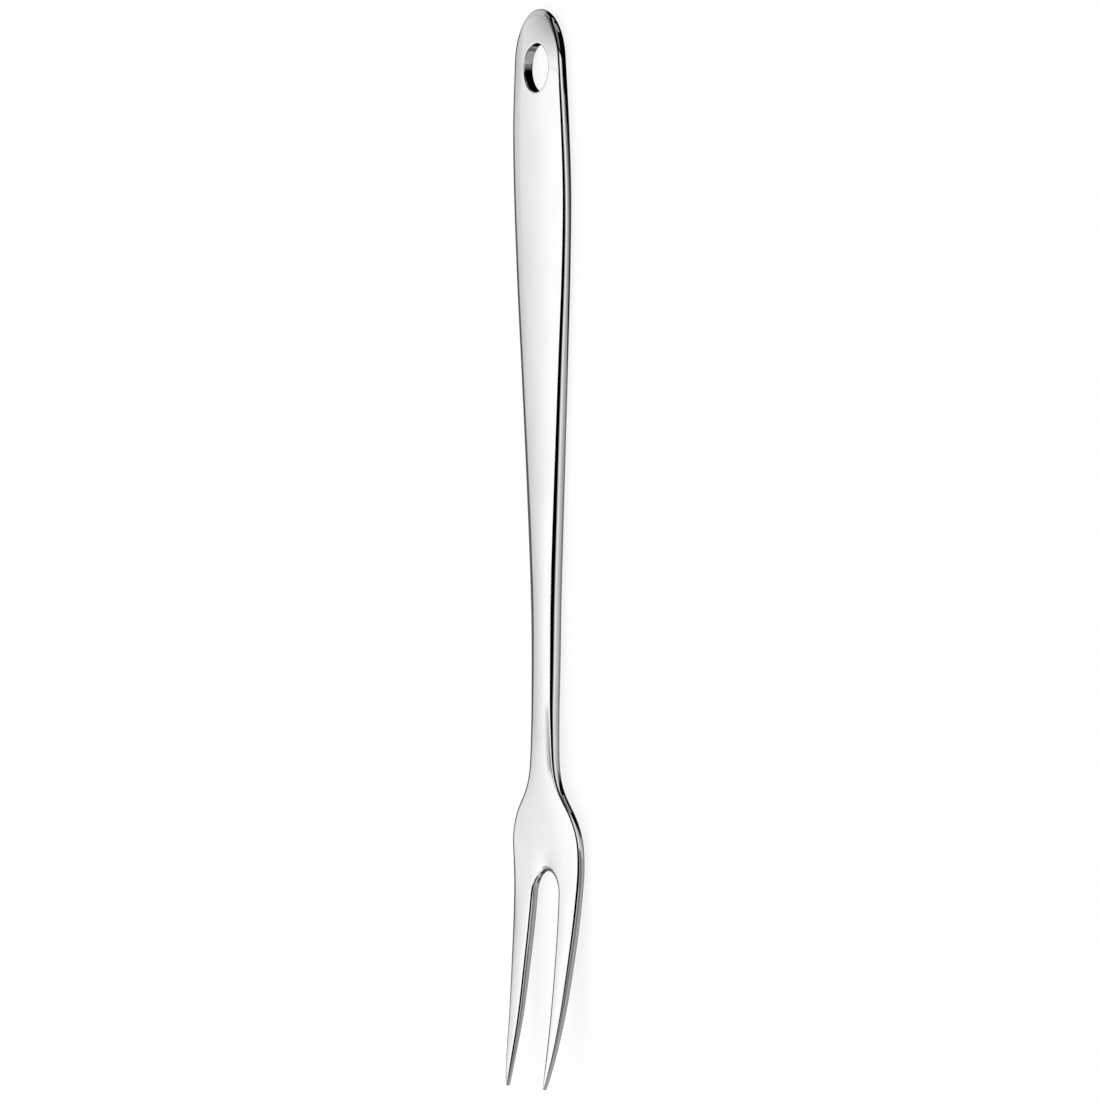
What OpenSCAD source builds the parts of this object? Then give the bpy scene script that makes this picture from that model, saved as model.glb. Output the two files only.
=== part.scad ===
// Two-tined meat fork, forged and polished in one piece, lying on its back with the tines curving up.
// +Y runs to the handle end, +Z up, and the origin is on the table below the middle of the fork.

/* [Length] */
// Length over all, from the handle end to the tine tips
total_l = 300; // [270:5:340]
// Length of the head, from the neck to the tine tips
head_l = 88; // [84:1:94]
// Length of the tines, from the root of the slot to the tips
tine_l = 60; // [56:1:62]

/* [Handle] */
// Widest part of the handle
handle_w = 30.3; // [26:0.1:34]
// Thickness of the handle along its middle
handle_t = 3.1; // [2.8:0.1:3.6]
// Length of the rounded handle end
end_l = 14; // [12:0.5:16]
// How far the rounding of the handle's edges reaches in
handle_edge = 1.4; // [0.8:0.05:2]
// How far each face of the handle bulges at its middle
handle_crown = 0.25; // [0.1:0.01:0.3]

/* [Shaft] */
// Narrowest part of the shaft
shaft_w = 13.8; // [12:0.1:16]
// Thickest part of the shaft
shaft_t = 3.6; // [3.2:0.1:4.2]
// How far the rounding of the shaft's edges reaches in
shaft_edge = 3.5; // [2:0.1:4]

/* [Head] */
// Widest part of the head
head_w = 38.2; // [36:0.1:40]
// Thickness of the palm at the root of the slot
palm_t = 2.3; // [1.8:0.05:2.6]
// How far the rounding of the palm's and the tines' edges reaches in
head_edge = 1.8; // [1:0.05:2.2]

/* [Tines] */
// Radius of the slot's root
slot_r = 6.85; // [6:0.05:7.2]
// Distance between the middles of the two tips
tip_spacing = 20.7; // [20:0.1:22]
// Width of a tip
tip_w = 1; // [0.9:0.1:1.6]
// Thickness of a tip
tip_t = 1.15; // [1:0.05:1.6]
// Radius that rounds the slot's edges
slot_edge_r = 0.4; // [0.2:0.05:0.5]

/* [Hanging hole] */
// Diameter of the hanging hole
hole_d = 13.5; // [10:0.1:16]
// Middle of the hole from the handle end
hole_at = 16.4; // [15:0.1:20]
// Bevel on the hole's two rims
hole_bevel = 0.2; // [0.1:0.05:0.4]

/* [Height above the table] */
// Middle of the handle's thickness where the handle lies on the table
handle_z = 1.71; // [1.6:0.01:2]
// Middle of the thickness at the hanging hole
end_z = 2.03; // [1.8:0.01:2.3]
// Middle of the thickness at the neck
neck_z = 3.07; // [2.7:0.01:3.5]
// Middle of the thickness at the bottom of the palm
palm_z = 2.04; // [1.8:0.01:2.4]
// Middle of the thickness at the tips
tip_z = 10.12; // [8:0.01:12]

/* [Hidden] */

// The length from the handle end to the neck, which carries the handle's and the shaft's stations
grip_l = total_l - head_l;
// The middle of the slot's root, from the handle end
root_at = total_l - tine_l + slot_r;
// The length over which the tips round off to their last section
tip_round = 0.45;
// Where the handle end's curve starts: the smaller, the narrower is its first section
end_angle = 8;

// Counts that set how fine the surface is
face_steps = 5;
corner_steps = 5;
end_steps = 11;
handle_steps = 34;
neck_steps = 16;
tine_steps = 26;
tip_steps = 3;
root_steps = 16;
side_steps = 14;

// Larger than anything that a cutter has to pass through
clear = 30;

function mix(a, b, t) = a + (b - a) * t;

// A smooth curve through stations of [place, value]
function interval(s, u, i = 0) = i >= len(s) - 2 || u < s[i + 1][0] ? i : interval(s, u, i + 1);
function rise(s, i) = (s[i + 1][1] - s[i][1]) / (s[i + 1][0] - s[i][0]);
function tangent(s, i) =
    i == 0 ? rise(s, 0) :
    i == len(s) - 1 ? rise(s, i - 1) :
    let(before = s[i][0] - s[i - 1][0], after = s[i + 1][0] - s[i][0])
    (rise(s, i - 1) * after + rise(s, i) * before) / (before + after);
function curve(s, u) =
    let(
        i = interval(s, u),
        span = s[i + 1][0] - s[i][0],
        t = (u - s[i][0]) / span,
        t2 = t * t,
        t3 = t2 * t
    )
    (2 * t3 - 3 * t2 + 1) * s[i][1] + (t3 - 2 * t2 + t) * span * tangent(s, i)
    + (3 * t2 - 2 * t3) * s[i + 1][1] + (t3 - t2) * span * tangent(s, i + 1);

// Half width of the outline, from the handle end to the tips
outline = [
    [0, 0.41 * handle_w],
    [end_l, 0.435 * handle_w],
    [0.14 * grip_l, 0.48 * handle_w],
    [0.225 * grip_l, handle_w / 2],
    [0.345 * grip_l, mix(shaft_w, handle_w, 0.88) / 2],
    [0.46 * grip_l, mix(shaft_w, handle_w, 0.645) / 2],
    [0.58 * grip_l, mix(shaft_w, handle_w, 0.405) / 2],
    [0.7 * grip_l, mix(shaft_w, handle_w, 0.19) / 2],
    [0.78 * grip_l, mix(shaft_w, handle_w, 0.065) / 2],
    [0.86 * grip_l, mix(shaft_w, handle_w, 0.013) / 2],
    [0.95 * grip_l, shaft_w / 2],
    [grip_l, mix(shaft_w, head_w, 0.063) / 2],
    [total_l - 85, mix(shaft_w, head_w, 0.127) / 2],
    [total_l - 81, mix(shaft_w, head_w, 0.346) / 2],
    [total_l - 77, mix(shaft_w, head_w, 0.672) / 2],
    [total_l - 73, mix(shaft_w, head_w, 0.876) / 2],
    [total_l - 68.5, mix(shaft_w, head_w, 0.986) / 2],
    [total_l - 64, head_w / 2],
    [total_l - 52, 0.959 * head_w / 2],
    [total_l - 35, 0.877 * head_w / 2],
    [total_l - 18, 0.765 * head_w / 2],
    [total_l - 6, 0.662 * head_w / 2],
    [total_l, (tip_spacing + tip_w) / 2]
];

// Thickness along the middle line
thicknesses = [
    [0, handle_t - 0.15],
    [hole_at, handle_t],
    [0.33 * grip_l, handle_t],
    [0.45 * grip_l, mix(handle_t, shaft_t, 0.5)],
    [0.59 * grip_l, mix(handle_t, shaft_t, 0.8)],
    [0.73 * grip_l, shaft_t],
    [0.9 * grip_l, mix(palm_t, shaft_t, 0.76)],
    [total_l - 80, palm_t + 0.1],
    [total_l - 60, palm_t],
    [total_l - 25, mix(tip_t, palm_t, 0.7)],
    [total_l, tip_t]
];

// How far each face bulges at its middle
crowns = [
    [0, handle_crown],
    [0.15 * grip_l, handle_crown],
    [0.9 * grip_l, 0.4 * handle_crown],
    [grip_l, 0.45 * handle_crown],
    [total_l - 76, 0.5 * handle_crown],
    [total_l - 60, 0.2 * handle_crown],
    [total_l - 45, 0],
    [total_l, 0]
];

// How far the rounding of the edges reaches in
edge_runs = [
    [0, handle_edge],
    [0.15 * grip_l, mix(handle_edge, shaft_edge, 0.24)],
    [0.31 * grip_l, mix(handle_edge, shaft_edge, 0.49)],
    [0.45 * grip_l, mix(handle_edge, shaft_edge, 0.6)],
    [0.59 * grip_l, mix(handle_edge, shaft_edge, 0.77)],
    [0.73 * grip_l, shaft_edge],
    [0.88 * grip_l, mix(head_edge, shaft_edge, 0.64)],
    [grip_l, mix(head_edge, shaft_edge, 0.1)],
    [total_l - 76, head_edge],
    [total_l - 35, head_edge],
    [total_l - 15, 0.6 * head_edge],
    [total_l, 0.42 * tip_t]
];

// Height of the middle of the thickness above the table
heights = [
    [0, end_z],
    [hole_at, end_z],
    [0.14 * grip_l, end_z],
    [0.24 * grip_l, handle_z + 0.06],
    [0.38 * grip_l, handle_z],
    [0.55 * grip_l, handle_z + 0.02],
    [0.7 * grip_l, handle_z + 0.16],
    [0.85 * grip_l, mix(handle_z, neck_z, 0.38)],
    [0.94 * grip_l, mix(handle_z, neck_z, 0.76)],
    [total_l - 85, neck_z],
    [total_l - 78, mix(palm_z, neck_z, 0.97)],
    [total_l - 72, mix(palm_z, neck_z, 0.5)],
    [total_l - 60, palm_z],
    [total_l - 50, mix(palm_z, tip_z, 0.078)],
    [total_l - 35, mix(palm_z, tip_z, 0.282)],
    [total_l - 18, mix(palm_z, tip_z, 0.576)],
    [total_l - 8, mix(palm_z, tip_z, 0.81)],
    [total_l, tip_z]
];

// Half width of the slot, from the middle of its root to past the tips
slot_sides = [
    [root_at, slot_r],
    [total_l - 35, mix(slot_r, tip_spacing / 2, 0.24)],
    [total_l - 15, mix(slot_r, tip_spacing / 2, 0.47)],
    [total_l - 6, mix(slot_r, tip_spacing / 2, 0.66)],
    [total_l, (tip_spacing - tip_w) / 2],
    [total_l + 1, (tip_spacing - tip_w) / 2 + 0.25]
];

// How much of the end's rounding is left at u: 0 at the very end, 1 past it
function end_fill(u, r) = u >= r ? 1 : sqrt(1 - pow(1 - max(u, 0) / r, 2));

function end_width(u) = u >= end_l ? 1 : sin(acos((1 - u / end_l) * cos(end_angle)));
function half_width(u) = curve(outline, u) * end_width(u);
function edge_run(u) = min(curve(edge_runs, u), half_width(u) / 2);
function crown(u) = curve(crowns, u) * end_width(u);

// Half of the thickness at the edge, rounded off toward both ends
function edge_half(u) =
    let(
        half = curve(thicknesses, u) / 2 - crown(u),
        r = min(curve(edge_runs, u), 0.9 * half),
        fill = min(end_fill(u, r), end_fill(total_l - u, tip_round))
    )
    half - r * (1 - fill);

// Height of the upper face above the middle, at x across the fork and u along it
function face_half(x, u) =
    let(reach = half_width(u) - edge_run(u))
    edge_half(u) + crown(u) * (1 - pow(min(abs(x) / reach, 1), 2));

// One closed section, starting at the left of the upper face: its corners are quarters of an ellipse
function section(u) =
    let(
        w = half_width(u),
        half = edge_half(u),
        run = edge_run(u),
        drop = min(run, 0.93 * half),
        upper = [for (i = [-face_steps : face_steps])
            let(x = (w - run) * i / face_steps) [x, face_half(x, u)]],
        corner = [for (i = [1 : corner_steps])
            let(a = 90 * i / corner_steps) [w - run + run * sin(a), half - drop + drop * cos(a)]],
        right = concat(upper, corner),
        n = len(right)
    )
    concat(
        right,
        [for (i = [n - 1 : -1 : 2 * face_steps]) [right[i][0], -right[i][1]]],
        [for (i = [2 * face_steps - 1 : -1 : 0]) [upper[i][0], -upper[i][1]]],
        [for (i = [0 : corner_steps - 1]) [-corner[i][0], -corner[i][1]]],
        [for (i = [corner_steps - 1 : -1 : 0]) [-corner[i][0], corner[i][1]]]
    );

// Places of the sections: close together at the ends and in the neck
places = concat(
    [for (i = [0 : end_steps]) let(a = mix(end_angle, 90, pow(i / end_steps, 1.3)))
        end_l * (1 - cos(a) / cos(end_angle))],
    [for (i = [1 : handle_steps]) mix(end_l, 0.94 * grip_l, i / handle_steps)],
    [for (i = [1 : neck_steps]) mix(0.94 * grip_l, total_l - 64, i / neck_steps)],
    [for (i = [1 : tine_steps]) mix(total_l - 64, total_l - tip_round, i / tine_steps)],
    [for (i = [1 : tip_steps]) total_l - tip_round * (1 - sin(90 * i / tip_steps))]
);

function place_y(u) = total_l / 2 - u;
function middle(ring) = [for (axis = [0 : 2]) sum([for (p = ring) p[axis]]) / len(ring)];
function sum(list) = list * [for (value = list) 1];

// A solid skin over a row of closed rings, with both ends closed around their middles
module loft(rings) {
    n = len(rings[0]);
    last = len(rings) - 1;
    first_middle = (last + 1) * n;
    points = concat(
        [for (ring = rings) each ring],
        [for (ring = [rings[0], rings[last]]) middle(ring)]
    );
    skin = [for (k = [0 : last - 1]) for (i = [0 : n - 1])
        let(a = k * n + i, b = k * n + (i + 1) % n)
        each [[a, b, a + n], [b, b + n, a + n]]];
    ends = [for (i = [0 : n - 1])
        let(j = (i + 1) % n)
        each [[first_middle, j, i], [first_middle + 1, last * n + i, last * n + j]]];
    polyhedron(points, concat(skin, ends), convexity = 6);
}

// The fork before its slot and hole are cut
module blank() {
    loft([for (u = places) [for (p = section(u)) [p[0], place_y(u), curve(heights, u) + p[1]]]]);
}

// The slot's outline in plan, pushed o into the metal: [x across, u along]
function slot_outline(o) =
    let(
        side = [for (i = [side_steps : -1 : 1])
            let(u = mix(root_at, total_l + 1, i / side_steps)) [curve(slot_sides, u) + o, u]],
        root = [for (i = [0 : root_steps]) let(a = 180 * i / root_steps)
            [(slot_r + o) * cos(a), root_at - (slot_r + o) * sin(a)]],
        n = len(side)
    )
    concat(side, root, [for (i = [n - 1 : -1 : 0]) [-side[i][0], side[i][1]]]);

// Each layer of the slot's cutter: [push into the metal, face it follows, height over that face]
slot_layers = [
    [1.1 * slot_edge_r, 1, clear],
    [1.1 * slot_edge_r, 1, 0.1 * slot_edge_r],
    [0.35 * slot_edge_r, 1, -0.3 * slot_edge_r],
    [0, 1, -slot_edge_r],
    [0, -1, -slot_edge_r],
    [0.35 * slot_edge_r, -1, -0.3 * slot_edge_r],
    [1.1 * slot_edge_r, -1, 0.1 * slot_edge_r],
    [1.1 * slot_edge_r, -1, clear]
];

// What is cut from between the tines, flared where it rounds the slot's edges
module slot_cut() {
    loft([for (layer = slot_layers) [for (p = slot_outline(layer[0]))
        let(
            u = min(p[1], total_l - 2 * tip_round),
            face = curve(heights, u) + layer[1] * (face_half(p[0], u) + layer[2])
        )
        [p[0], place_y(p[1]), layer[2] == clear ? layer[1] * clear : face]]]);
}

// The hanging hole, bevelled at both rims
module hole_cut() {
    rim = face_half(hole_d / 2, hole_at) - hole_bevel;
    translate([0, place_y(hole_at), curve(heights, hole_at)]) {
        cylinder(h = clear, d = hole_d, center = true, $fn = 96);
        for (turn = [0, 180])
            rotate([turn, 0, 0]) translate([0, 0, rim])
                cylinder(h = 2 * hole_bevel, d1 = hole_d, d2 = hole_d + 4 * hole_bevel, $fn = 96);
    }
}

// How far the fork is raised so that its lowest point is on the table
lift = max([for (u = places) face_half(0, u) - curve(heights, u)]);

module meat_fork() {
    color([0.82, 0.83, 0.84])
        translate([0, 0, lift]) difference() {
            blank();
            slot_cut();
            hole_cut();
        }
}

meat_fork();
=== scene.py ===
import math

import bpy
from mathutils import Matrix, Vector


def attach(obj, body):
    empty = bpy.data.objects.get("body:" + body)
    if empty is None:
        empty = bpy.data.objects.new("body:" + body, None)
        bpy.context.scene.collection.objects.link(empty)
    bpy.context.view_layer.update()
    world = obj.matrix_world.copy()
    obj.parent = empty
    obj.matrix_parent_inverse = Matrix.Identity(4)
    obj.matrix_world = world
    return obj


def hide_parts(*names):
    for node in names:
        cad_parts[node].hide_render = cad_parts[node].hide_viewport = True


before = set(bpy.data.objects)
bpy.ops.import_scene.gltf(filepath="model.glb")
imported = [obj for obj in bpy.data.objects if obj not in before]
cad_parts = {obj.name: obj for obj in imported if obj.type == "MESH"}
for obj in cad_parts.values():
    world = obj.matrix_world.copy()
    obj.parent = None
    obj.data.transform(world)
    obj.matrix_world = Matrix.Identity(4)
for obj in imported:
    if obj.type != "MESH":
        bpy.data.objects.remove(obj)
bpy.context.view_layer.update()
mm = 0.001
print("frame loaded:", sorted(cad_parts))


def mix(a, b, t):
    return a + (b - a) * t


def slope(stations, i):        # rise of the curve at station i, from the stations on both sides
    def rise(k):
        return (stations[k + 1][1] - stations[k][1]) / (stations[k + 1][0] - stations[k][0])
    if i == 0:
        return rise(0)
    if i == len(stations) - 1:
        return rise(i - 1)
    before = stations[i][0] - stations[i - 1][0]
    after = stations[i + 1][0] - stations[i][0]
    return (rise(i - 1) * after + rise(i) * before) / (before + after)


def curveAt(stations, place):        # smooth curve through stations of (place, value)
    i = 0
    while i < len(stations) - 2 and place >= stations[i + 1][0]:
        i += 1
    span = stations[i + 1][0] - stations[i][0]
    t = (place - stations[i][0]) / span
    return ((2 * t**3 - 3 * t**2 + 1) * stations[i][1] + (t**3 - 2 * t**2 + t) * span * slope(stations, i)
            + (3 * t**2 - 2 * t**3) * stations[i + 1][1] + (t**3 - t**2) * span * slope(stations, i + 1))


def only(obj):        # obj alone is selected and active
    bpy.ops.object.select_all(action="DESELECT")
    obj.select_set(True)
    bpy.context.view_layer.objects.active = obj


def applyModifier(obj, kind, **settings):
    only(obj)
    modifier = obj.modifiers.new(kind.title(), kind)
    for name, value in settings.items():
        setattr(modifier, name, value)
    bpy.ops.object.modifier_apply(modifier=modifier.name)


# The fork's real sizes in millimetres; places along it are counted from the handle end.
fork = {
    "length": 300.0,
    "gripLength": 212.0,        # handle and shaft, up to the neck
    "handleWidth": 30.3,
    "handleThickness": 3.1,
    "handleEdge": 1.4,        # how far the rounding of the edges reaches in
    "handleCrown": 0.25,        # how far a face bulges at its middle
    "endLength": 14.0,        # rounded end of the handle
    "shaftWidth": 13.8,
    "shaftThickness": 3.6,
    "shaftEdge": 3.5,
    "headWidth": 38.2,
    "palmThickness": 2.3,
    "headEdge": 1.8,
    "tineCrown": 0.012,        # bulge of each tine at its own middle, as a share of its width
    "crownRunIn": 15.0,        # length over which that bulge comes in
    "rootDip": 0.18,        # how far the face falls off at the slot's root
    "dipReach": 4.0,        # how far that dip spreads
    "tineLength": 60.0,
    "slotRadius": 6.85,
    "slotEdge": 1.5,        # how far the rounding of the slot's edges reaches in
    "tipSpacing": 20.7,
    "tipWidth": 1.0,
    "tipThickness": 1.15,
    "holeRadius": 6.75,
    "holeAt": 16.4,
    "holeBevel": 0.2,
    "handleHeight": 1.71,        # heights of the middle of the thickness above the table
    "endHeight": 2.03,
    "neckHeight": 3.07,
    "palmHeight": 2.04,
    "tipHeight": 10.12,
}
length = fork["length"]
grip = fork["gripLength"]
rootAt = length - fork["tineLength"] + fork["slotRadius"]


def blend(first, second):        # how far from one of the fork's sizes to another
    return lambda t: mix(fork[first], fork[second], t)


shaftToHandle = blend("shaftWidth", "handleWidth")
shaftToHead = blend("shaftWidth", "headWidth")
handleToShaft = blend("handleThickness", "shaftThickness")
palmToShaft = blend("palmThickness", "shaftThickness")
tipToPalm = blend("tipThickness", "palmThickness")
handleToShaftEdge = blend("handleEdge", "shaftEdge")
handleToNeck = blend("handleHeight", "neckHeight")
palmToNeck = blend("palmHeight", "neckHeight")
palmToTip = blend("palmHeight", "tipHeight")


def rootToTip(t):        # from the slot's half width at its root to the middle of a tip
    return mix(fork["slotRadius"], fork["tipSpacing"] / 2, t)


widthStations = [        # the whole width, from side to side
    (0, 0.82 * fork["handleWidth"]), (fork["endLength"], 0.87 * fork["handleWidth"]),
    (0.14 * grip, 0.96 * fork["handleWidth"]), (0.225 * grip, fork["handleWidth"]),
    (0.345 * grip, shaftToHandle(0.88)), (0.46 * grip, shaftToHandle(0.645)),
    (0.58 * grip, shaftToHandle(0.405)), (0.7 * grip, shaftToHandle(0.19)),
    (0.78 * grip, shaftToHandle(0.065)), (0.86 * grip, shaftToHandle(0.013)),
    (0.95 * grip, fork["shaftWidth"]), (grip, shaftToHead(0.063)), (length - 85, shaftToHead(0.127)),
    (length - 81, shaftToHead(0.33)), (length - 77, shaftToHead(0.65)), (length - 73, shaftToHead(0.856)),
    (length - 68.5, shaftToHead(0.986)), (length - 64, fork["headWidth"]),
    (length - 52, 0.959 * fork["headWidth"]), (length - 35, 0.873 * fork["headWidth"]),
    (length - 18, 0.765 * fork["headWidth"]), (length - 6, 0.662 * fork["headWidth"]),
    (length, fork["tipSpacing"] + fork["tipWidth"]),
]
thicknessStations = [
    (0, fork["handleThickness"] - 0.15), (fork["holeAt"], fork["handleThickness"]),
    (0.33 * grip, fork["handleThickness"]), (0.45 * grip, handleToShaft(0.5)),
    (0.59 * grip, handleToShaft(0.8)), (0.73 * grip, fork["shaftThickness"]),
    (0.9 * grip, palmToShaft(0.76)), (length - 80, palmToShaft(0.074)), (length - 60, fork["palmThickness"]),
    (length - 25, tipToPalm(0.7)), (length, fork["tipThickness"]),
]
crownStations = [
    (0, fork["handleCrown"]), (0.15 * grip, fork["handleCrown"]), (0.9 * grip, 0.4 * fork["handleCrown"]),
    (grip, 0.45 * fork["handleCrown"]), (length - 76, 0.5 * fork["handleCrown"]),
    (length - 60, 0.2 * fork["handleCrown"]), (length - 45, 0), (length, 0),
]
edgeStations = [
    (0, fork["handleEdge"]), (0.15 * grip, handleToShaftEdge(0.24)), (0.31 * grip, handleToShaftEdge(0.49)),
    (0.45 * grip, handleToShaftEdge(0.6)), (0.59 * grip, handleToShaftEdge(0.77)),
    (0.73 * grip, fork["shaftEdge"]), (0.88 * grip, mix(fork["headEdge"], fork["shaftEdge"], 0.64)),
    (grip, 0.9 * fork["headEdge"]), (length - 77, 0.62 * fork["headEdge"]),
    (length - 70, 0.72 * fork["headEdge"]), (length - 60, fork["headEdge"]),
    (length - 35, 0.8 * fork["headEdge"]), (length - 15, 0.5 * fork["headEdge"]),
    (length, 0.42 * fork["tipThickness"]),
]
heightStations = [
    (0, fork["endHeight"]), (fork["holeAt"], fork["endHeight"]), (0.14 * grip, fork["endHeight"]),
    (0.24 * grip, fork["handleHeight"] + 0.06), (0.38 * grip, fork["handleHeight"]),
    (0.55 * grip, fork["handleHeight"] + 0.02), (0.7 * grip, fork["handleHeight"] + 0.16),
    (0.85 * grip, handleToNeck(0.38)), (0.94 * grip, handleToNeck(0.76)), (length - 85, fork["neckHeight"]),
    (length - 78, palmToNeck(0.97)), (length - 72, palmToNeck(0.5)), (length - 60, fork["palmHeight"]),
    (length - 50, palmToTip(0.078)), (length - 35, palmToTip(0.282)), (length - 18, palmToTip(0.576)),
    (length - 8, palmToTip(0.81)), (length, fork["tipHeight"]),
]
slotStations = [        # half of the slot's width
    (rootAt, fork["slotRadius"]), (length - 35, rootToTip(0.24)), (length - 15, rootToTip(0.47)),
    (length - 6, rootToTip(0.66)), (length, (fork["tipSpacing"] - fork["tipWidth"]) / 2),
]


def middleHeight(place):
    return curveAt(heightStations, place)


def halfWidth(place):
    return curveAt(widthStations, place) / 2


def faceHeight(x, place):        # the face above the middle of the thickness
    reach = halfWidth(place) - curveAt(edgeStations, place)
    bulge = (x / reach) ** 2
    if place < fork["holeAt"]:        # the end falls off all round like a shallow dome
        bulge += ((fork["holeAt"] - place) / (fork["holeAt"] - fork["handleEdge"])) ** 2
    height = curveAt(thicknessStations, place) / 2 - curveAt(crownStations, place) * bulge
    fromRoot = math.hypot(x, place - rootAt + fork["slotRadius"])
    height -= fork["rootDip"] * math.exp(-(fromRoot / fork["dipReach"]) ** 2)
    if place > rootAt - fork["slotRadius"]:        # the tines' own bulge, which fades before the tips
        slotHalf = curveAt(slotStations, max(place, rootAt))
        aside = (2 * x - slotHalf - reach) / (reach - slotHalf)
        share = min(1, (place - rootAt + fork["slotRadius"]) / fork["crownRunIn"])
        bulge = fork["tineCrown"] * max(0, reach - slotHalf - fork["tipWidth"])
        height -= bulge * share**2 * (3 - 2 * share) * (min(aside**2, 1.5) - 1)
    return height


# The rim: points on the outline in plan, each with its outward direction, how far its rounding reaches in,
# and how far inside that the plate's last row of corners lies.
def rimPoint(x, place, dx, dPlace, reach, support):
    size = math.hypot(dx, dPlace)
    return {"x": x, "place": place, "out": (dx / size, dPlace / size), "reach": reach, "support": support}


def inset(rim, distance):
    return rim["x"] - rim["out"][0] * distance, rim["place"] - rim["out"][1] * distance


def sideRim(place):
    rise = (halfWidth(place + 0.2) - halfWidth(place - 0.2)) / 0.4
    support = 0.5 if place < rootAt else min(0.5, 0.06 * (halfWidth(place) - curveAt(slotStations, place)))
    return rimPoint(halfWidth(place), place, 1, -rise, curveAt(edgeStations, place), support)


def endRim(angle):        # the rounded handle end, from its middle at 0 to its side at 90 degrees
    def at(a):
        place = fork["endLength"] * (1 - math.cos(math.radians(a)))
        return halfWidth(place) * math.sin(math.radians(a)), place
    (x0, p0), (x1, p1) = at(angle - 0.5), at(angle + 0.5)
    x, place = at(angle)
    if angle == 0:
        x, x0, x1, p0, p1 = 0, -1, 1, 0, 0
    swell = 1 + 0.0041 * min(1, (90 - angle) / 18)        # subdivision draws the end in by this much
    return rimPoint(x * swell, fork["endLength"] - (fork["endLength"] - place) * swell, p1 - p0, x0 - x1,
                    curveAt(edgeStations, place), 0.5)


def slotRim(place):
    rise = (curveAt(slotStations, place + 0.2) - curveAt(slotStations, place - 0.2)) / 0.4
    tineWidth = halfWidth(place) - curveAt(slotStations, place)
    return rimPoint(curveAt(slotStations, place), place, -1, rise, min(fork["slotEdge"], 0.36 * tineWidth),
                    min(0.5, 0.06 * tineWidth))


def rootRim(angle):        # the slot's rounded root, from its middle at 0 to its side at 90 degrees
    a = math.radians(angle)
    return rimPoint(fork["slotRadius"] * math.sin(a), rootAt - fork["slotRadius"] * math.cos(a),
                    -math.sin(a), math.cos(a), fork["slotEdge"], 0.5)


def tipRim(angle):        # the rounded tip, from its outer side at 0 to its inner side at 180 degrees
    a = math.radians(angle)
    radius = fork["tipWidth"] / 2
    return rimPoint(fork["tipSpacing"] / 2 + radius * math.cos(a), length - radius + radius * math.sin(a),
                    math.cos(a), math.sin(a), 0.9 * radius, 0.04 * radius)


def holeRim(angle):
    a = math.radians(angle)
    radius = 1.0041 * fork["holeRadius"]        # subdivision draws the hole in by this much
    return rimPoint(radius * math.sin(a), fork["holeAt"] - radius * math.cos(a), -math.sin(a), math.cos(a),
                    fork["holeBevel"], 0.5)


# The plate: the upper face inside its rounded edges, laid as four grids.
plate = {
    "across": 5,        # quads from the middle line to the edge
    "tineAcross": 4,
    "endAngles": [9 * i for i in range(11)],
    "endPlaces": [18, 22, 26, 30, 34],
    "bodyPlaces": [34 + 6 * i for i in range(26)] + [184 + 3 * i for i in range(1, 17)],
    "rootPlaces": [235.75, 239.5, 243.25],
    "tinePlaces": [mix(rootAt, length - 3.5, i / 12) for i in range(13)] + [length - 2.3, length - 1.3],
}
across, tineAcross = plate["across"], plate["tineAcross"]
endAngles, endPlaces, bodyPlaces = plate["endAngles"], plate["endPlaces"], plate["bodyPlaces"]
rootPlaces, tinePlaces = plate["rootPlaces"], plate["tinePlaces"]
holeRays = len(endAngles) - 1 + len(endPlaces) + across
rootRays = across + len(rootPlaces) + 1


def between(a, b, t):
    return mix(a[0], b[0], t), mix(a[1], b[1], t)


def faceEdge(rim):        # where the plate ends, in plan
    return inset(rim, rim["reach"] + rim["support"])


endOuter = [faceEdge(endRim(a)) for a in endAngles] + [faceEdge(sideRim(p)) for p in endPlaces]
endOuter += [between(endOuter[-1], (0, endPlaces[-1]), i / across) for i in range(1, across + 1)]
holeInner = [faceEdge(holeRim(180 * i / holeRays)) for i in range(holeRays + 1)]
cutCorner = faceEdge(sideRim(bodyPlaces[-1]))
rootOuter = [between((0, bodyPlaces[-1]), cutCorner, i / across) for i in range(across + 1)]
rootOuter += [faceEdge(sideRim(p)) for p in rootPlaces + [rootAt]]
rootInner = [faceEdge(rootRim(90 * i / rootRays)) for i in range(rootRays + 1)]


def onEnd(column, row):
    return between(holeInner[column], endOuter[column], row / 3)


def onBody(column, row):
    return between((0, bodyPlaces[row]), faceEdge(sideRim(bodyPlaces[row])), column / across)


def onRoot(column, row):
    return between(rootInner[column], rootOuter[column], row / tineAcross)


def onTine(column, row):
    if row == len(tinePlaces):
        return faceEdge(tipRim(180 - 180 * column / tineAcross))
    inner = slotRim(tinePlaces[row]) if row else rootRim(90)
    return between(faceEdge(inner), faceEdge(sideRim(tinePlaces[row])), column / tineAcross)


def layGrid(columns, rows, placeFor):        # a grid primitive whose corners are moved to their places
    bpy.ops.object.select_all(action="DESELECT")
    bpy.ops.mesh.primitive_grid_add(x_subdivisions=columns, y_subdivisions=rows, size=1)
    grid = bpy.context.object
    for vertex in grid.data.vertices:
        x, place = placeFor(round((vertex.co.x + 0.5) * columns), round((vertex.co.y + 0.5) * rows))
        vertex.co = (x, length / 2 - place, 0)
    return grid


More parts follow.
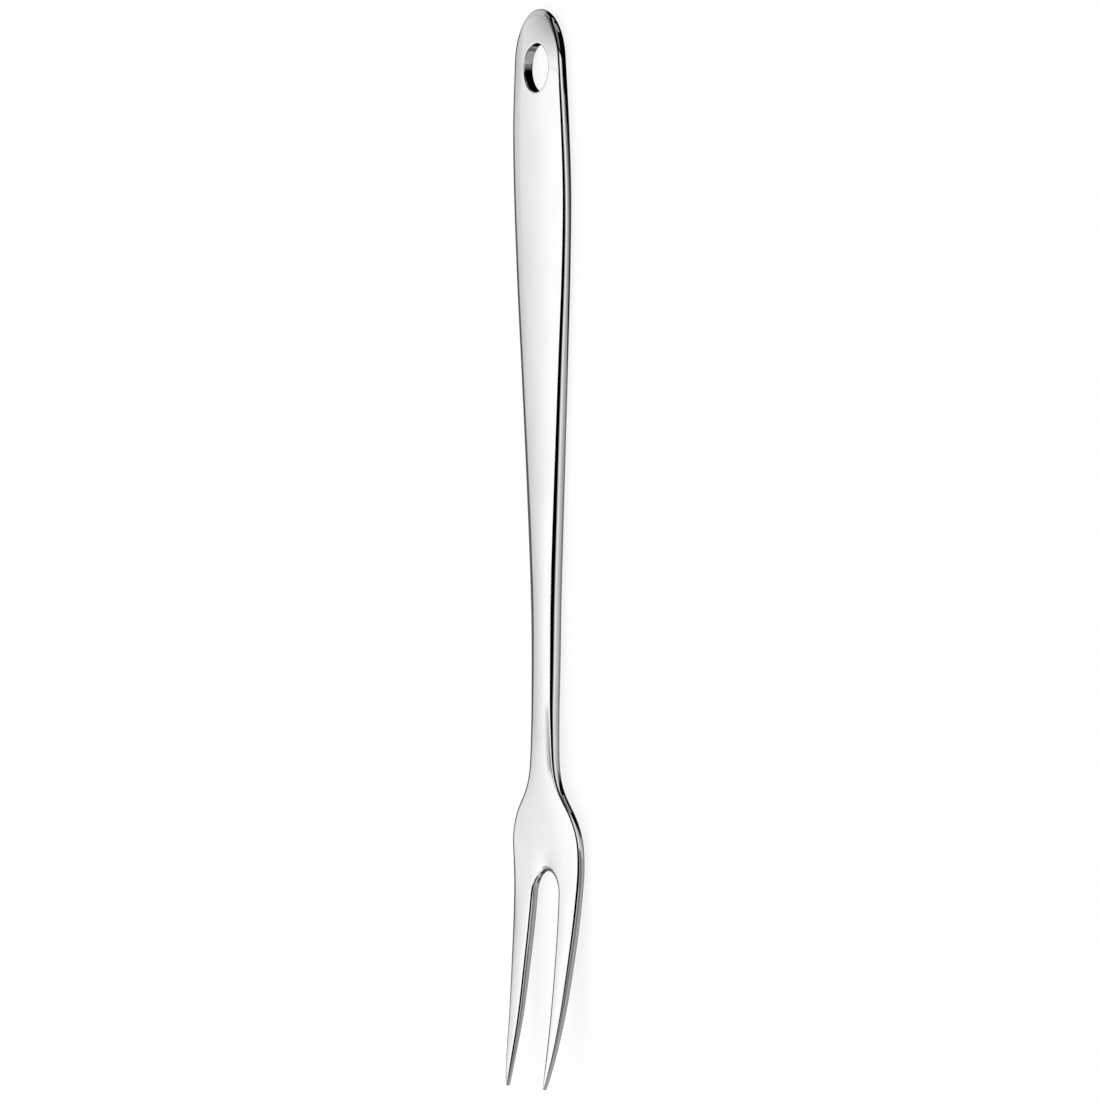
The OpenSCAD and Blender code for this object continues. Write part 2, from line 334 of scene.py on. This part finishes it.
blocks = [
    layGrid(holeRays, 3, onEnd), layGrid(across, len(bodyPlaces) - 1, onBody),
    layGrid(rootRays, tineAcross, onRoot), layGrid(tineAcross, len(tinePlaces), onTine),
]
only(blocks[0])
for block in blocks:
    block.select_set(True)
bpy.ops.object.join()
forkPiece = bpy.context.object
forkPiece.name = "polishedFork"
bpy.ops.object.mode_set(mode="EDIT")
bpy.ops.mesh.select_all(action="SELECT")
bpy.ops.mesh.remove_doubles(threshold=0.001)
bpy.ops.mesh.normals_make_consistent(inside=False)
bpy.ops.object.mode_set(mode="OBJECT")
for vertex in forkPiece.data.vertices:
    place = length / 2 - vertex.co.y
    vertex.co.z = middleHeight(place) + faceHeight(vertex.co.x, place)
print("plate laid:", len(forkPiece.data.polygons), "quads")

# The rounded edges: the plate's border is extruded in steps, down to the middle of the thickness.
rimRow = ([endRim(a) for a in endAngles]
          + [sideRim(p) for p in endPlaces + bodyPlaces[1:] + rootPlaces + tinePlaces]
          + [tipRim(180 * i / tineAcross) for i in range(tineAcross + 1)]
          + [slotRim(p) for p in reversed(tinePlaces[1:])]
          + [rootRim(90 - 90 * i / rootRays) for i in range(rootRays + 1)])
holeRow = [holeRim(180 * i / holeRays) for i in range(holeRays + 1)]


def onEdge(rim, turn):        # a point of the rounded edge, whose surface has turned by so many degrees
    reach = rim["reach"]
    edge = faceHeight(*inset(rim, reach))
    near = faceHeight(*inset(rim, reach + 0.1))
    drop = min(reach, 0.93 * edge)
    fall = math.atan((near - edge) / 0.1 * reach / drop)        # how far the face itself already slopes
    angle = mix(fall, math.pi / 2, turn / 90)
    x, place = inset(rim, reach * (1 - math.sin(angle)))
    return x, place, middleHeight(place) + edge - drop * (math.cos(fall) - math.cos(angle))


def onBevel(rim, turn):        # the hole's narrow bevel, and its wall
    x, place = inset(rim, rim["reach"] if turn < 45 else 0)
    drop = (0, rim["reach"], rim["reach"] + 0.35)[turn // 45]
    return x, place, middleHeight(place) + faceHeight(x, place) - drop


def middleOfWall(rim):
    return rim["x"], rim["place"], middleHeight(rim["place"])


def borderVertices(obj, rims):        # each corner on the plate's border, with its rim point
    found = {}
    for rim in rims:
        x, place = faceEdge(rim)
        spot = Vector((x, length / 2 - place))
        nearest = min(obj.data.vertices, key=lambda v: (Vector(v.co[:2]) - spot).length)
        found[nearest.index] = rim
    return found


def rollEdge(obj, rims, profile):        # profile: for each new row, where it puts a rim point's corner
    owners = borderVertices(obj, rims)
    for shape in profile:
        only(obj)
        bpy.ops.object.mode_set(mode="EDIT")
        bpy.ops.mesh.select_mode(type="EDGE")
        bpy.ops.mesh.select_all(action="DESELECT")
        bpy.ops.object.mode_set(mode="OBJECT")
        used = {}
        for polygon in obj.data.polygons:
            for key in polygon.edge_keys:
                used[key] = used.get(key, 0) + 1
        for edge in obj.data.edges:
            a, b = edge.vertices
            edge.select = used[tuple(sorted((a, b)))] == 1 and a in owners and b in owners
        before = len(obj.data.vertices)
        places = {i: Vector(obj.data.vertices[i].co) for i in owners}
        bpy.ops.object.mode_set(mode="EDIT")
        bpy.ops.mesh.extrude_edges_move()
        bpy.ops.object.mode_set(mode="OBJECT")
        moved = {}
        for vertex in obj.data.vertices[before:]:
            source = min(places, key=lambda i: (places[i] - vertex.co).length)
            moved[vertex.index] = owners[source]
        for index, rim in moved.items():
            x, place, z = shape(rim)
            obj.data.vertices[index].co = (x, length / 2 - place, z)
        owners = moved


edgeRows = [lambda rim, t=t: onEdge(rim, t) for t in (0, 18, 36, 54, 72, 90)]
bevelRows = [lambda rim, t=t: onBevel(rim, t) for t in (0, 45, 90)]
rollEdge(forkPiece, rimRow, edgeRows + [middleOfWall])
rollEdge(forkPiece, holeRow, bevelRows + [middleOfWall])
print("edges rolled:", len(forkPiece.data.polygons), "quads")

# The back is the front turned over the middle of the thickness, and the left half is the right one mirrored.
back = forkPiece.copy()
back.data = forkPiece.data.copy()
bpy.context.collection.objects.link(back)
for vertex in back.data.vertices:
    vertex.co.z = 2 * middleHeight(length / 2 - vertex.co.y) - vertex.co.z
only(back)
bpy.ops.object.mode_set(mode="EDIT")
bpy.ops.mesh.select_all(action="SELECT")
bpy.ops.mesh.flip_normals()
bpy.ops.object.mode_set(mode="OBJECT")
only(forkPiece)
back.select_set(True)
bpy.ops.object.join()
bpy.ops.object.mode_set(mode="EDIT")
bpy.ops.mesh.select_all(action="SELECT")
bpy.ops.mesh.remove_doubles(threshold=0.0005)
bpy.ops.object.mode_set(mode="OBJECT")
for vertex in forkPiece.data.vertices:        # what lies on the middle line is put on it
    if abs(vertex.co.x) < 0.001:
        vertex.co.x = 0
applyModifier(forkPiece, "MIRROR", use_axis=(True, False, False), use_clip=True, merge_threshold=0.001)
applyModifier(forkPiece, "SUBSURF", levels=2, render_levels=2)
only(forkPiece)
forkPiece.scale = (mm, mm, mm)
bpy.ops.object.transform_apply(location=True, rotation=True, scale=True)
bpy.ops.object.mode_set(mode="EDIT")
bpy.ops.mesh.select_all(action="SELECT")
bpy.ops.mesh.normals_make_consistent(inside=False)
bpy.ops.object.mode_set(mode="OBJECT")
lowest = min(vertex.co.z for vertex in forkPiece.data.vertices)
for vertex in forkPiece.data.vertices:        # the back touches the table
    vertex.co.z -= lowest
bpy.ops.object.shade_smooth()
print("fork finished:", len(forkPiece.data.polygons), "quads, moved up by", round(-lowest / mm, 4), "mm")

# Mirror-polished steel, with faint polishing lines along the fork, soft smears and a few hairline scratches.
polish = {
    "colour": (0.865, 0.866, 0.868, 1),
    "worn": (0.81, 0.812, 0.816, 1),
    "smooth": 0.03,
    "dull": 0.075,
    "smearSize": 90,
    "lineSize": 5200,
    "lineDepth": 0.000004,        # of the bump, in metres
    "lineStrength": 0.08,
    "scratchSize": 2300,
    "scratchDullness": 0.09,
    "scratchDepth": -1.5,        # against the lines
}
steel = bpy.data.materials.new("polishedSteel")
steel.use_nodes = True
nodes, links = steel.node_tree.nodes, steel.node_tree.links
surface = nodes["Principled BSDF"]
surface.inputs["Metallic"].default_value = 1


def addNode(kind, **settings):
    node = nodes.new(kind)
    for name, value in settings.items():
        setattr(node, name, value)
    return node


def addNoise(scale, size, detail):        # noise on the fork's own coordinates, stretched by the three scales
    mapping = addNode("ShaderNodeMapping")
    mapping.inputs["Scale"].default_value = scale
    noise = addNode("ShaderNodeTexNoise")
    noise.inputs["Scale"].default_value = size
    noise.inputs["Detail"].default_value = detail
    links.new(coordinates.outputs["Object"], mapping.inputs["Vector"])
    links.new(mapping.outputs["Vector"], noise.inputs["Vector"])
    return noise.outputs["Fac"]


def addRange(value, low, high, outLow, outHigh):
    scale = addNode("ShaderNodeMapRange")
    for name, number in (("From Min", low), ("From Max", high), ("To Min", outLow), ("To Max", outHigh)):
        scale.inputs[name].default_value = number
    links.new(value, scale.inputs["Value"])
    return scale.outputs["Result"]


coordinates = addNode("ShaderNodeTexCoord")
smears = addNoise((1, 0.5, 1), polish["smearSize"], 3)
lines = addNoise((1, 0.012, 1), polish["lineSize"], 2)
scratches = addNoise((0.9, 0.02, 0.9), polish["scratchSize"], 0)
scratch = addRange(scratches, 0.74, 0.8, 0, 1)

dullness = addRange(smears, 0.35, 0.7, polish["smooth"], polish["dull"])
scratchDullness = addNode("ShaderNodeMath", operation="MULTIPLY_ADD")
scratchDullness.inputs[1].default_value = polish["scratchDullness"]
links.new(scratch, scratchDullness.inputs[0])
links.new(dullness, scratchDullness.inputs[2])
links.new(scratchDullness.outputs["Value"], surface.inputs["Roughness"])

tone = addNode("ShaderNodeMix", data_type="RGBA")
tone.inputs["A"].default_value = polish["colour"]
tone.inputs["B"].default_value = polish["worn"]
links.new(addRange(smears, 0.45, 0.8, 0, 1), tone.inputs["Factor"])
links.new(tone.outputs["Result"], surface.inputs["Base Color"])

relief = addNode("ShaderNodeMath", operation="MULTIPLY_ADD")
relief.inputs[1].default_value = polish["scratchDepth"]
links.new(scratch, relief.inputs[0])
links.new(lines, relief.inputs[2])
bump = addNode("ShaderNodeBump")
bump.inputs["Strength"].default_value = polish["lineStrength"]
bump.inputs["Distance"].default_value = polish["lineDepth"]
links.new(relief.outputs["Value"], bump.inputs["Height"])
links.new(bump.outputs["Normal"], surface.inputs["Normal"])
forkPiece.data.materials.clear()
forkPiece.data.materials.append(steel)
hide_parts("meat_fork")
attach(forkPiece, "root")
print("steel polished")

# The floor is paper, and what the camera sees of it is brought up to white.
sheet = {
    "size": 8,
    "shade": (0.16, 0.16, 0.16, 1),
    "lift": 0.85,        # added where the camera sees it
}
bpy.ops.object.select_all(action="DESELECT")
bpy.ops.mesh.primitive_plane_add(size=sheet["size"], location=(0, 0, 0))
floor = bpy.context.object
floor.name = "floor"
paper = bpy.data.materials.new("whitePaper")
paper.use_nodes = True
nodes, links = paper.node_tree.nodes, paper.node_tree.links
paperSurface = nodes["Principled BSDF"]
paperSurface.inputs["Base Color"].default_value = sheet["shade"]
paperSurface.inputs["Roughness"].default_value = 1
paperSurface.inputs["Specular IOR Level"].default_value = 0
paperSurface.inputs["Emission Color"].default_value = (1, 1, 1, 1)
seen = nodes.new("ShaderNodeLightPath")
lift = nodes.new("ShaderNodeMath")
lift.operation = "MULTIPLY"
lift.inputs[1].default_value = sheet["lift"]
links.new(seen.outputs["Is Camera Ray"], lift.inputs[0])
links.new(lift.outputs["Value"], paperSurface.inputs["Emission Strength"])
floor.data.materials.append(paper)
floor.visible_glossy = False

# The studio is a tent of curved cards round the fork's length, which only its reflections show.
# Angles go round the fork from straight up, and grow towards the camera's side; places run along the fork.
# Each card hangs just inside the ones before it.
tent = {
    "radius": 0.3,
    "step": 0.0005,        # from one card in to the next
    "facets": 48,        # across a card
    "cards": [        # name, angles, places, brightness at the two angles at the first place and at the last
        ("darkRoom", (-240, 120), (-3, 3), (0, 0), (0, 0)),
        ("backShade", (-120, -69), (-0.24, 0.183), (0.3, 0.22), (0.2, 0.2)),
        ("backEdge", (-69, -64), (-0.24, 0.183), (0.22, 0.65), (0.2, 0.8)),
        ("headStrip", (-64, -56), (-0.122, -0.06), (0.88, 1.2), (0.75, 1.15)),
        ("backStrip", (-64, -56), (-0.06, 0.155), (0.68, 1.15), (0.9, 1.15)),
        ("backWindow", (-56, -41), (-0.122, 0.155), (1.15, 1.15), (1.15, 1.15)),
        ("neckSlope", (-56.8, -54.8), (-0.071, -0.046), (1.1, 0.0), (1.15, 0.7)),
        ("neckShade", (-54.8, -50), (-0.071, -0.046), (0.0, 0.0), (0.7, 1.0)),
        ("rootShade", (-64, -55), (-0.3, -0.122), (0.2, 0.3), (0.4, 0.7)),
        ("rootWindow", (-55, -25), (-0.35, -0.122), (0.8, 0.8), (1.1, 1.1)),
        ("endStrip", (-64, -54), (0.155, 0.183), (0.9, 1.15), (0.85, 0.15)),
        ("endWindow", (-54, -36), (0.155, 0.183), (1.15, 1.1), (0.15, 0.0)),
        ("frontEdge", (-5, 13), (-0.105, 0.2), (0.3, 0.85), (0.05, 1.0)),
        ("frontSheet", (13, 54), (-0.095, 0.2), (0.9, 0.7), (1.1, 0.45)),
        ("frontFill", (54, 95), (-0.105, 0.19), (0.7, 0.6), (0.45, 0.0)),
        ("lowFill", (95, 124), (-0.105, 0.03), (0.55, 0.45), (0.5, 0.4)),
        ("lowShade", (95, 124), (0.03, 0.16), (0.35, 0.25), (0.05, 0.05)),
        ("underFill", (124, 180), (-0.105, 0.03), (0.4, 0.25), (0.35, 0.1)),
        ("underBack", (-180, -132), (-0.24, 0.19), (0.3, 0.3), (0.0, 0.1)),
        ("headFront", (-5, 14), (-0.6, -0.105), (0.3, 0.4), (0.2, 0.5)),
        ("tineFront", (13, 60), (-0.6, -0.095), (0.8, 0.7), (0.1, 0.2)),
        ("tineSide", (60, 90), (-0.5, -0.105), (0.6, 0.6), (0.25, 0.45)),
        ("tineLow", (90, 180), (-0.5, -0.105), (0.45, 0.4), (0.42, 0.3)),
        ("rootBack", (-180, -132), (-3, -0.24), (0.1, 0.1), (0.1, 0.2)),
        ("rootTop", (-40, -5), (-3, -0.35), (0.2, 0.1), (0.6, 0.4)),
        ("farTop", (-60, 60), (-3, -0.6), (0.4, 0.4), (0.5, 0.5)),
        ("endRim", (-120, -80), (0.183, 0.6), (0.25, 0.3), (0.3, 0.3)),
        ("endBack", (-80, -50), (0.183, 0.6), (0.85, 0.5), (0.5, 0.4)),
        ("endTop", (-50, -30), (0.2, 0.6), (0.15, 0.0), (0.5, 0.3)),
        ("midFront", (-4, 32), (0.22, 0.58), (0.15, 0.15), (0.35, 0.2)),
        ("farFront", (-4, 119), (0.58, 1.5), (0.4, 0.4), (0.4, 0.3)),
    ],
}


def addCard(name, angles, places, atFirst, atLast, radius):
    bpy.ops.object.select_all(action="DESELECT")
    bpy.ops.mesh.primitive_grid_add(x_subdivisions=tent["facets"], y_subdivisions=1, size=1)
    card = bpy.context.object
    card.name = name
    for vertex in card.data.vertices:
        angle = math.radians(mix(*angles, vertex.co.x + 0.5))
        vertex.co = (radius * math.sin(angle), mix(*places, vertex.co.y + 0.5), radius * math.cos(angle))
    light = bpy.data.materials.new(name)
    light.use_nodes = True
    nodes, links = light.node_tree.nodes, light.node_tree.links
    nodes.remove(nodes["Principled BSDF"])
    glow = nodes.new("ShaderNodeEmission")
    links.new(glow.outputs["Emission"], nodes["Material Output"].inputs["Surface"])
    spot = nodes.new("ShaderNodeTexCoord")
    split = nodes.new("ShaderNodeSeparateXYZ")
    links.new(spot.outputs["UV"], split.inputs["Vector"])
    fade = nodes.new("ShaderNodeMapRange")        # along the fork, between the fades at the card's two ends
    for end, brightness in (("To Min", atFirst), ("To Max", atLast)):
        around = nodes.new("ShaderNodeMapRange")
        around.inputs["To Min"].default_value = brightness[0]
        around.inputs["To Max"].default_value = brightness[1]
        links.new(split.outputs["X"], around.inputs["Value"])
        links.new(around.outputs["Result"], fade.inputs[end])
    links.new(split.outputs["Y"], fade.inputs["Value"])
    links.new(fade.outputs["Result"], glow.inputs["Strength"])
    card.data.materials.append(light)
    card.visible_camera = False
    card.visible_diffuse = False
    card.visible_shadow = False


for i, card in enumerate(tent["cards"]):
    addCard(*card, radius=tent["radius"] - tent["step"] * i)
print("studio set:", len(tent["cards"]), "cards")

view = {
    "turn": 60.3,        # of the fork about its length, away from facing the camera
    "roll": 0.01095,
    "distance": 2.0,
    "lens": 235.1,
    "aside": 1.21 * mm,
    "below": 0.61 * mm,
}
turn = math.radians(view["turn"])
backward = Vector((math.sin(turn), 0, math.cos(turn)))
level = Vector((math.cos(turn), 0, -math.sin(turn)))
along = Vector((0, 1, 0))
right = level * math.cos(view["roll"]) - along * math.sin(view["roll"])
up = along * math.cos(view["roll"]) + level * math.sin(view["roll"])
camera = bpy.data.objects.new("camera", bpy.data.cameras.new("camera"))
bpy.context.scene.collection.objects.link(camera)
camera.data.lens = view["lens"]
camera.data.sensor_width = 36
camera.data.clip_start = 0.05
camera.data.clip_end = 30
camera.matrix_world = Matrix((right, up, backward)).transposed().to_4x4()
camera.location = (Vector((0, 0, 2 * mm)) + backward * view["distance"] + right * view["aside"]
                   - up * view["below"])
bpy.context.scene.camera = camera

world = bpy.data.worlds.new("studio")
bpy.context.scene.world = world
world.use_nodes = True
world.node_tree.nodes["Background"].inputs["Color"].default_value = (1, 1, 1, 1)
world.node_tree.nodes["Background"].inputs["Strength"].default_value = 1
bpy.context.scene.view_settings.view_transform = "Standard"
